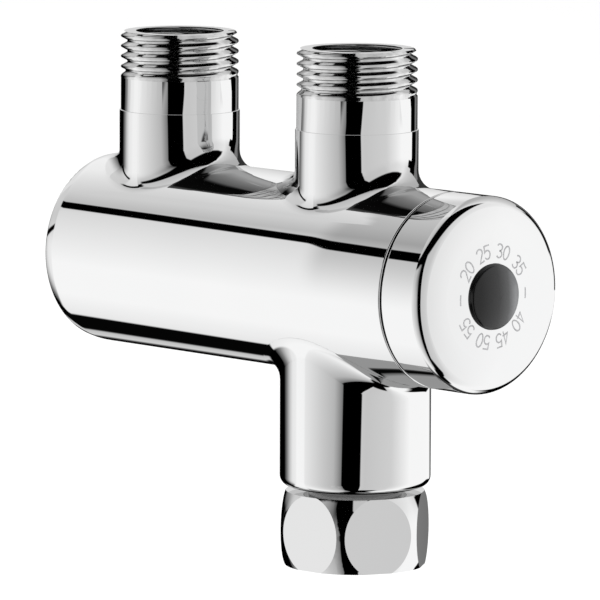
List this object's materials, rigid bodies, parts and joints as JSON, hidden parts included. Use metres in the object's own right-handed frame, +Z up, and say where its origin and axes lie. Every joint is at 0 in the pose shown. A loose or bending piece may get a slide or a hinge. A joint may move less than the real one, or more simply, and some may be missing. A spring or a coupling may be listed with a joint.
{
  "type": "thermostatic mixing valve",
  "caption": "Polished mixing valve: a horizontal barrel with upright threaded inlets for hot and cold water, a turning control cap on one end and a swivel union nut below for the mixed water.",
  "frame": {"origin": "on the axis of the union nut, where its thread begins, 1 mm inside its lower face", "axes": "+X along the barrel towards the control cap, +Z up along the inlets, +Y across"},
  "size_m": [0.0975, 0.034, 0.0901],
  "materials": {
    "chrome_plate": "polished chrome plate on brass",
    "plug_plastic": "glossy dark grey",
    "brass": "turned brass",
    "moulding": "moulded engineering plastic",
    "check_plastic": "moulded white plastic",
    "steel": "stainless steel",
    "spring_steel": "drawn stainless wire",
    "seal_rubber": "black rubber",
    "washer_fibre": "red fibre",
    "wax_copper": "copper cup"
  },
  "bodies": {
    "valve": {"valve_body": "chrome_plate", "hot_strainer": "steel", "cold_strainer": "steel", "hot_check_housing": "check_plastic", "cold_check_housing": "check_plastic", "hot_check_seal": "seal_rubber", "cold_check_seal": "seal_rubber", "hot_check_spring": "spring_steel", "cold_check_spring": "spring_steel", "cartridge_sleeve": "moulding", "sleeve_seals": "seal_rubber", "hot_seat_ring": "brass", "seat_plug": "moulding", "plug_seals": "seal_rubber", "plug_clip": "steel", "return_spring": "spring_steel", "bonnet": "brass", "outlet_tail": "chrome_plate", "tail_seal": "seal_rubber", "outlet_washer": "washer_fibre"},
    "knob": {"control_knob": "chrome_plate", "spindle": "brass", "spindle_seal": "seal_rubber", "knob_screw": "steel"},
    "plug": {"index_plug": "plug_plastic"},
    "adjuster": {"adjuster": "brass", "overload_spring": "spring_steel"},
    "overload": {"overload_pad": "steel", "wax_piston": "steel"},
    "shuttle": {"shuttle": "moulding", "shuttle_seals": "seal_rubber", "wax_element": "wax_copper"},
    "hot_check": {"hot_check_poppet": "check_plastic"},
    "cold_check": {"cold_check_poppet": "check_plastic"},
    "nut": {"union_nut": "chrome_plate"}
  },
  "joints": [
    {"name": "knob_turn", "type": "hinge", "parent": "valve", "child": "knob", "pos_m": [0.0232, 0, 0.0491], "axis": [1, 0, 0], "range_deg": [-148, 148]},
    {"name": "plug_pull", "type": "slide", "parent": "knob", "child": "plug", "axis": [1, 0, 0], "range_m": [0, 0.008]},
    {"name": "adjuster_travel", "type": "slide", "parent": "valve", "child": "adjuster", "axis": [1, 0, 0], "range_m": [-0.00065, 0.00065]},
    {"name": "overload_travel", "type": "slide", "parent": "adjuster", "child": "overload", "axis": [1, 0, 0], "range_m": [0, 0.002], "stiffness_N_per_m": 4000, "springref_m": -0.001, "deforming": ["overload_spring"]},
    {"name": "shuttle_travel", "type": "slide", "parent": "valve", "child": "shuttle", "axis": [1, 0, 0], "range_m": [-0.0005, 0.0005], "stiffness_N_per_m": 2000, "deforming": ["return_spring"]},
    {"name": "hot_check_open", "type": "slide", "parent": "valve", "child": "hot_check", "axis": [0, 0, -1], "range_m": [0, 0.0024], "stiffness_N_per_m": 100, "springref_m": -0.003, "deforming": ["hot_check_spring"]},
    {"name": "cold_check_open", "type": "slide", "parent": "valve", "child": "cold_check", "axis": [0, 0, -1], "range_m": [0, 0.0024], "stiffness_N_per_m": 100, "springref_m": -0.003, "deforming": ["cold_check_spring"]},
    {"name": "nut_turn", "type": "hinge", "parent": "valve", "child": "nut", "pos_m": [0, 0, 0.005], "axis": [0, 0, 1], "continuous": true}
  ],
  "couplings": [
    {"joint": "adjuster_travel", "follows": "knob_turn", "m_per_rad": -0.00023873}
  ]
}
